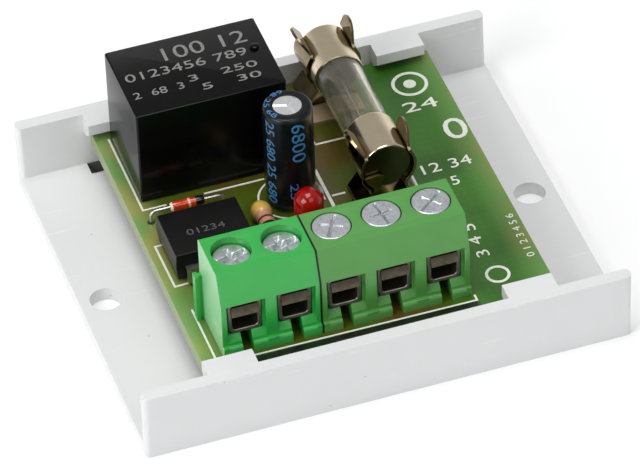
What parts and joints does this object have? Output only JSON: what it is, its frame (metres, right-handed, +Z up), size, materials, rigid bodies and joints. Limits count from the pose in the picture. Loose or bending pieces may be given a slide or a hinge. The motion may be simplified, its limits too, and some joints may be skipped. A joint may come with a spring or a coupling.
{
  "type": "relay module",
  "caption": "Relay module: an open plastic tray holding a circuit board with a sealed relay, a glass fuse in clips, a capacitor, a lamp and green screw terminals.",
  "frame": {"origin": "middle of the tray's underside", "axes": "+X along the tray towards the fuse's end, +Y from the terminals to the rear wall, +Z up from the surface the tray is fixed to"},
  "size_m": [0.0498, 0.0434, 0.0177],
  "materials": {
    "tray_white": "satin, fine scratches",
    "board_green": "solder mask with pale print",
    "housing_bright_green": "satin",
    "housing_olive_green": "satin",
    "clamp_steel": "nickel plated",
    "zinc_screw": "zinc plated",
    "relay_black": "gloss",
    "relay_base_black": "matt",
    "bobbin_plastic": "matt",
    "coil_copper": "enamelled copper wire",
    "soft_iron": "nickel plated iron",
    "contact_bronze": "phosphor bronze",
    "tinned_wire": "tinned",
    "can_aluminium": "satin",
    "sleeve_black": "gloss, pale blue print",
    "bung_rubber": "matt",
    "winding_paper": "matt",
    "lens_red": "gloss, cast",
    "resistor_tan": "lacquer with bands",
    "diode_glass": "orange glass with a black band",
    "rectifier_black": "satin",
    "fuse_glass": "clear",
    "nickel_cap": "polished nickel",
    "nickel_strip": "polished nickel"
  },
  "bodies": {
    "base": {"mounting_tray": "tray_white", "circuit_board": "board_green", "terminal_housing_supply": "housing_bright_green", "terminal_housing_switch": "housing_olive_green", "clamp_frame_1": "clamp_steel", "clamp_frame_2": "clamp_steel", "clamp_frame_3": "clamp_steel", "clamp_frame_4": "clamp_steel", "clamp_frame_5": "clamp_steel", "relay_cover": "relay_black", "relay_base": "relay_base_black", "relay_bobbin": "bobbin_plastic", "relay_coil": "coil_copper", "relay_core": "soft_iron", "relay_yoke": "soft_iron", "relay_return_spring": "contact_bronze", "relay_contact_open": "contact_bronze", "relay_contact_closed": "contact_bronze", "relay_coil_pins": "tinned_wire", "relay_common_pin": "tinned_wire", "capacitor_can": "can_aluminium", "capacitor_sleeve": "sleeve_black", "capacitor_bung": "bung_rubber", "capacitor_winding": "winding_paper", "capacitor_leads": "tinned_wire", "lamp_lens": "lens_red", "lamp_leads": "tinned_wire", "resistor_body": "resistor_tan", "resistor_leads": "tinned_wire", "diode_body": "diode_glass", "diode_leads": "tinned_wire", "rectifier_body": "rectifier_black", "rectifier_leads": "tinned_wire", "fuse_clip_front": "nickel_strip", "fuse_clip_rear": "nickel_strip"},
    "armature": {"relay_armature": "soft_iron", "relay_moving_contact": "contact_bronze"},
    "fuse": {"fuse_tube": "fuse_glass", "fuse_cap_front": "nickel_cap", "fuse_cap_rear": "nickel_cap", "fuse_wire": "tinned_wire"},
    "guard_1": {"wire_guard_1": "clamp_steel"},
    "screw_1": {"terminal_screw_1": "zinc_screw"},
    "guard_2": {"wire_guard_2": "clamp_steel"},
    "screw_2": {"terminal_screw_2": "zinc_screw"},
    "guard_3": {"wire_guard_3": "clamp_steel"},
    "screw_3": {"terminal_screw_3": "zinc_screw"},
    "guard_4": {"wire_guard_4": "clamp_steel"},
    "screw_4": {"terminal_screw_4": "zinc_screw"},
    "guard_5": {"wire_guard_5": "clamp_steel"},
    "screw_5": {"terminal_screw_5": "zinc_screw"}
  },
  "joints": [
    {"name": "armature_pivot", "type": "hinge", "parent": "base", "child": "armature", "pos_m": [-0.00405, 0.0131, 0.015], "axis": [0, 1, 0], "range_deg": [0, 3], "stiffness_Nm_per_rad": 0.004, "springref_deg": -14.32},
    {"name": "fuse_lift", "type": "slide", "parent": "base", "child": "fuse", "axis": [0, 0, 1], "range_m": [0, 0.008]},
    {"name": "clamp_slide_1", "type": "slide", "parent": "base", "child": "guard_1", "axis": [0, 0, -1], "range_m": [-0.0005, 0.0011]},
    {"name": "screw_turn_1", "type": "hinge", "parent": "guard_1", "child": "screw_1", "pos_m": [-0.01264, -0.0121, 0.0142], "axis": [0, 0, -1], "range_deg": [-361, 793]},
    {"name": "clamp_slide_2", "type": "slide", "parent": "base", "child": "guard_2", "axis": [0, 0, -1], "range_m": [-0.0005, 0.0011]},
    {"name": "screw_turn_2", "type": "hinge", "parent": "guard_2", "child": "screw_2", "pos_m": [-0.00756, -0.0121, 0.0142], "axis": [0, 0, -1], "range_deg": [-361, 793]},
    {"name": "clamp_slide_3", "type": "slide", "parent": "base", "child": "guard_3", "axis": [0, 0, -1], "range_m": [-0.0005, 0.0015]},
    {"name": "screw_turn_3", "type": "hinge", "parent": "guard_3", "child": "screw_3", "pos_m": [-0.00248, -0.0121, 0.015], "axis": [0, 0, -1], "range_deg": [-361, 1081]},
    {"name": "clamp_slide_4", "type": "slide", "parent": "base", "child": "guard_4", "axis": [0, 0, -1], "range_m": [-0.0005, 0.0015]},
    {"name": "screw_turn_4", "type": "hinge", "parent": "guard_4", "child": "screw_4", "pos_m": [0.0026, -0.0121, 0.015], "axis": [0, 0, -1], "range_deg": [-361, 1081]},
    {"name": "clamp_slide_5", "type": "slide", "parent": "base", "child": "guard_5", "axis": [0, 0, -1], "range_m": [-0.0005, 0.0015]},
    {"name": "screw_turn_5", "type": "hinge", "parent": "guard_5", "child": "screw_5", "pos_m": [0.00768, -0.0121, 0.015], "axis": [0, 0, -1], "range_deg": [-361, 1081]}
  ],
  "couplings": [
    {"joint": "screw_turn_1", "follows": "clamp_slide_1", "rad_per_m": 12566},
    {"joint": "screw_turn_2", "follows": "clamp_slide_2", "rad_per_m": 12566},
    {"joint": "screw_turn_3", "follows": "clamp_slide_3", "rad_per_m": 12566},
    {"joint": "screw_turn_4", "follows": "clamp_slide_4", "rad_per_m": 12566},
    {"joint": "screw_turn_5", "follows": "clamp_slide_5", "rad_per_m": 12566}
  ]
}
